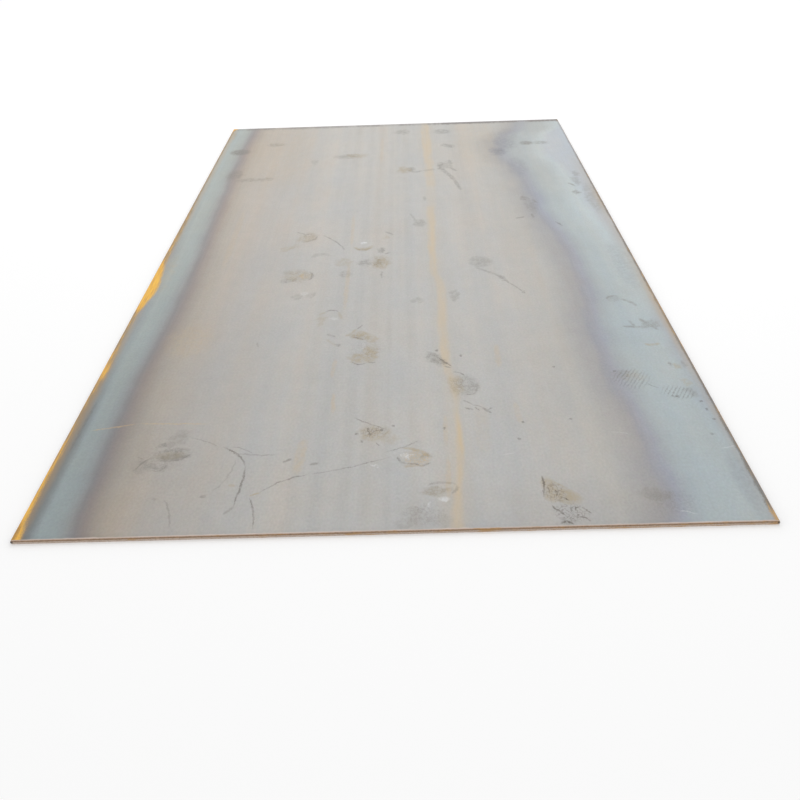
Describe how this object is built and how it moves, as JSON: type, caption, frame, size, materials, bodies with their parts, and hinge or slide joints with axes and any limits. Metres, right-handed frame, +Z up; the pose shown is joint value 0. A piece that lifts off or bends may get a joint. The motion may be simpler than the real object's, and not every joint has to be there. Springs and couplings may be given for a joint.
{
  "type": "hot-rolled steel plate",
  "caption": "Flat rectangular hot-rolled steel plate with rounded mill edges along its sides and sheared ends, raw stock for cutting and welding.",
  "frame": {"origin": "middle of the underside, on the surface that the plate lies on", "axes": "+Z up out of the top face, +Y along the length towards the rear sheared end, +X across the width to the right mill edge"},
  "size_m": [1.5, 3, 0.01],
  "materials": {
    "mill_scale_steel": "hot-rolled mill scale, warm grey in the middle with blue-grey bands along both long sides, orange rust on the edges"
  },
  "bodies": {
    "root": {"plate": "mill_scale_steel"}
  },
  "joints": []
}
